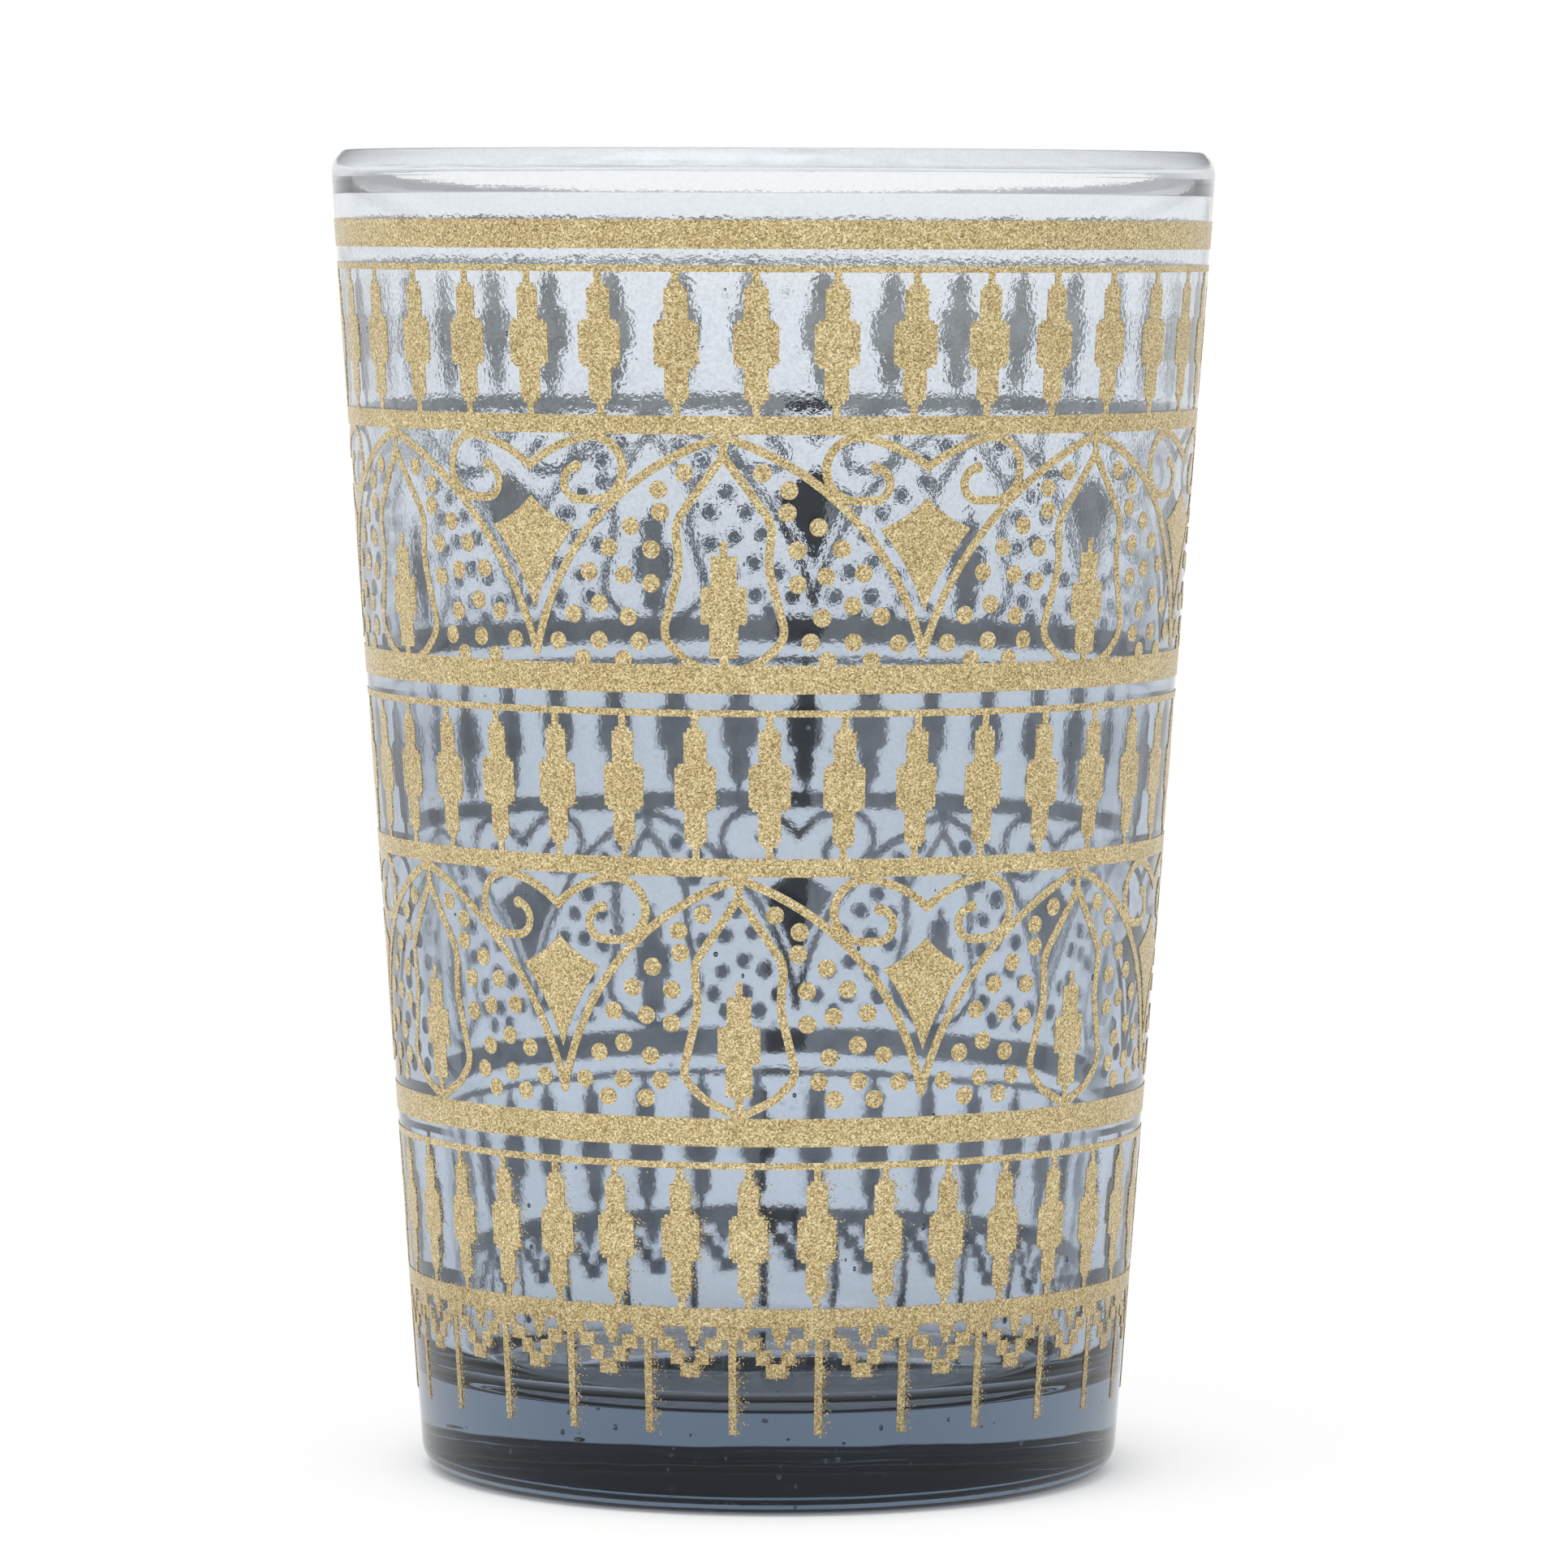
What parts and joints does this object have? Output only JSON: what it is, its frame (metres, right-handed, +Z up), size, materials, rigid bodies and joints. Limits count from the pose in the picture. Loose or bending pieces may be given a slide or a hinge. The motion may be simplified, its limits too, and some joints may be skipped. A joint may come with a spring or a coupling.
{
  "type": "moroccan tea glass",
  "caption": "Clear tapered tea glass with a thick foot and a rounded lip, printed all round in gold with bands of balusters, arcades of pointed arches and a hanging fringe.",
  "frame": {"origin": "centre of the foot, on the surface that the glass stands on", "axes": "+Z up along the glass's axis, -Y towards the front of the print"},
  "size_m": [0.06, 0.06, 0.09],
  "materials": {
    "clear_glass": "clear pressed soda-lime glass, slightly wavy",
    "gold_print": "fired-on gold enamel, fine glitter grain"
  },
  "bodies": {
    "root": {"glass_body": "clear_glass", "upper_stripe": "gold_print", "upper_fine_line": "gold_print", "upper_balusters": "gold_print", "upper_rail": "gold_print", "middle_stripe": "gold_print", "middle_fine_line": "gold_print", "middle_balusters": "gold_print", "middle_rail": "gold_print", "lower_stripe": "gold_print", "lower_fine_line": "gold_print", "lower_balusters": "gold_print", "lower_rail": "gold_print", "upper_arches": "gold_print", "upper_scrolls": "gold_print", "upper_kites": "gold_print", "upper_pears": "gold_print", "upper_finials": "gold_print", "upper_dots": "gold_print", "lower_arches": "gold_print", "lower_scrolls": "gold_print", "lower_kites": "gold_print", "lower_pears": "gold_print", "lower_finials": "gold_print", "lower_dots": "gold_print", "fringe_lines": "gold_print", "fringe_pendants": "gold_print", "fringe_teeth": "gold_print"}
  },
  "joints": []
}
